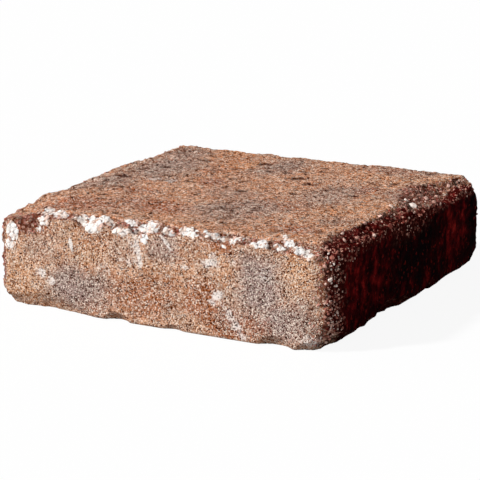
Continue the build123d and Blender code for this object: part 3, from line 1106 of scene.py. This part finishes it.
def aggregate_seats(mesh, chance):
    """Where the stones of the mix are bared, the larger ones first: crowded and pale in the patches of the
    front's top arris, from dark red to tan on the right-hand arrises, and fewer elsewhere."""
    points, normals = mesh_points(mesh)
    layers = [layer_of(mesh, name) for name in ("broken", "rough", "patches", "dark_side_shade")]
    broken, rough, patches, dark_side_shade = layers
    bare = np.maximum(np.maximum(broken, rough), patches) > 0.35
    order = list(np.nonzero(bare & (points[:, 2] > BARE_FROM))[0])
    chance.shuffle(order)
    seats = []
    centres = np.zeros((MOST_STONES, 3))
    reaches = np.zeros(MOST_STONES)
    rise, buried = SET_SEAT
    for x, y, z, size, tone in SET_STONES:
        index = int(np.argmin(np.linalg.norm(points - np.array((x, y, z)) * MM, axis=1)))
        centres[len(seats)], reaches[len(seats)] = points[index], size * MM / 2
        seats.append((points[index], normals[index], size * MM, size * rise * MM, buried, tone))
    for size, in_patch, in_dark_side_shade, elsewhere in STONE_SIZES:
        for index in order:
            place = points[index]
            if patches[index] > 0.3:
                share, (rise, buried) = in_patch, PATCH_SEAT
                tone = min(1.0, max(0.6, chance.gauss(0.6 + 0.35 * patches[index], 0.1)))
            elif dark_side_shade[index] > 0.4 and place[1] < NEAR_ARRIS:
                share, (rise, buried) = in_dark_side_shade * NEAR_ARRIS_CROWDED, NEAR_ARRIS_SEAT
                tone = chance.choice(NEAR_ARRIS_TONES)
            elif dark_side_shade[index] > 0.4:
                share, (rise, buried) = in_dark_side_shade, OTHER_SEAT
                tone = chance.choice(DARK_SIDE_SHADE_TONES)
            else:
                share, (rise, buried) = elsewhere * broken[index], OTHER_SEAT
                tone = chance.choice(OTHER_TONES)
            if chance.random() > share:
                continue
            gaps = np.linalg.norm(centres[:len(seats)] - place, axis=1)
            if (gaps < (reaches[:len(seats)] + size * MM / 2) * STONE_CROWDING).any():
                continue
            centres[len(seats)], reaches[len(seats)] = place, size * MM / 2
            seats.append((place, normals[index], size * MM, size * rise * MM, buried, tone))
    return seats


# Dust on the bared stones, in specks of about this size
DUST_MM = 1.0
DUST = linear("#b07860")


def aggregate_material():
    """Crushed stone of the mix, dull and dusty where it was bared: cream to white limestone and quartz along
    the front, and tan, pink and dark red stones at the dark face."""
    material, tree = new_material("crushed_pale_aggregate")
    place = node(tree, "ShaderNodeTexCoord").outputs["Object"]
    tone = node(tree, "ShaderNodeAttribute", attribute_name="tone").outputs["Fac"]
    colour = node(tree, "ShaderNodeValToRGB", {0: tone}, stops=[
        (0.0, linear("#3a0a0a")),
        (0.25, linear("#8a3a30")),
        (0.5, linear("#d09484")),
        (0.72, linear("#f0d6c8")),
        (0.9, linear("#fffaf5")),
    ])
    dust = node(tree, "ShaderNodeTexNoise", {"Vector": place, "Scale": scale_of(DUST_MM), "Detail": 3.0})
    dusty = node(tree, "ShaderNodeMapRange", {VALUE: dust, START: 0.52, END: 0.78, LAST: 0.5})
    colour = node(tree, "ShaderNodeMix", {AMOUNT: dusty, UNDER: colour, OVER: DUST}, data_type="RGBA")
    bump = node(tree, "ShaderNodeBump", {"Height": dust, "Strength": 0.9, "Distance": BUMP_DEPTH})
    skin = node(tree, "ShaderNodeBsdfPrincipled", {
        "Base Color": colour, "Roughness": 0.85, "Specular IOR Level": 0.15, "Normal": bump,
    })
    node(tree, "ShaderNodeOutputMaterial", {"Surface": skin})
    return material


# Stage: a pale floor, one soft key light from the front left, and an even sky

KEY_DIRECTION = Vector((-0.52, -0.60, 0.61))
KEY_STRENGTH = 3.7
KEY_ANGLE = math.radians(6)
SKY_STRENGTH = 0.20
FLOOR_SIZE = 12.0
FLOOR_GREY = linear("#c8c8c8")
WHITE = linear("#ffffff")
FLOOR_GLOW = 0.92                # share of the white that the floor shows whether it is lit or in shade


def background_rays(tree):
    """1 for rays that see the background: the camera's own, and those that shine or glass send there."""
    path = node(tree, "ShaderNodeLightPath")
    seen = path.outputs["Is Camera Ray"]
    for kind in ("Is Glossy Ray", "Is Transmission Ray"):
        seen = node(tree, "ShaderNodeMath", {0: seen, 1: path.outputs[kind]},
                    operation="ADD", use_clamp=True)
    return seen


def add_floor():
    """The floor, white to the camera apart from the stone's shadow."""
    bpy.ops.object.select_all(action="DESELECT")
    bpy.ops.mesh.primitive_plane_add(size=FLOOR_SIZE)
    floor = bpy.context.object
    floor.name = "floor"
    material, tree = new_material("pale_floor")
    dull = node(tree, "ShaderNodeBsdfDiffuse", {"Color": FLOOR_GREY})
    white = node(tree, "ShaderNodeBsdfDiffuse", {"Color": WHITE})
    glow = node(tree, "ShaderNodeEmission", {"Color": WHITE, "Strength": 1.0})
    shown = node(tree, "ShaderNodeMixShader", {0: FLOOR_GLOW, 1: white, 2: glow})
    surface = node(tree, "ShaderNodeMixShader", {0: background_rays(tree), 1: dull, 2: shown})
    node(tree, "ShaderNodeOutputMaterial", {"Surface": surface})
    floor.data.materials.append(material)


def add_lights():
    """The key light and the sky, which is white where it is seen."""
    data = bpy.data.lights.new("key_light", "SUN")
    data.energy = KEY_STRENGTH
    data.angle = KEY_ANGLE
    key = bpy.data.objects.new("key_light", data)
    key.rotation_euler = KEY_DIRECTION.to_track_quat("Z", "Y").to_euler()
    bpy.context.collection.objects.link(key)

    world = bpy.data.worlds.new("studio")
    bpy.context.scene.world = world
    world.use_nodes = True
    sky = world.node_tree
    sky.nodes.clear()
    strength = node(sky, "ShaderNodeMapRange", {VALUE: background_rays(sky), FIRST: SKY_STRENGTH, LAST: 1.0})
    light = node(sky, "ShaderNodeBackground", {"Color": WHITE, "Strength": strength})
    node(sky, "ShaderNodeOutputWorld", {"Surface": light})


# The scene

scene = bpy.context.scene
scene.view_settings.view_transform = "Standard"
add_camera()
add_floor()
add_lights()

stone = dress_stone()
stone.data.materials.clear()
stone.data.materials.append(stone_material())
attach(stone, "root")
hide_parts("paving_stone")

chance = random.Random(12)
shapes = [chip_shape(number) for number in range(CHIP_SHAPES)]
chips = scatter("pale_aggregate", shapes, aggregate_seats(stone.data, chance), chance)
chips.data.materials.append(aggregate_material())
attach(chips, "root")

for piece in (stone, chips):
    print(piece.name, "triangles", sum(len(p.vertices) - 2 for p in piece.data.polygons))
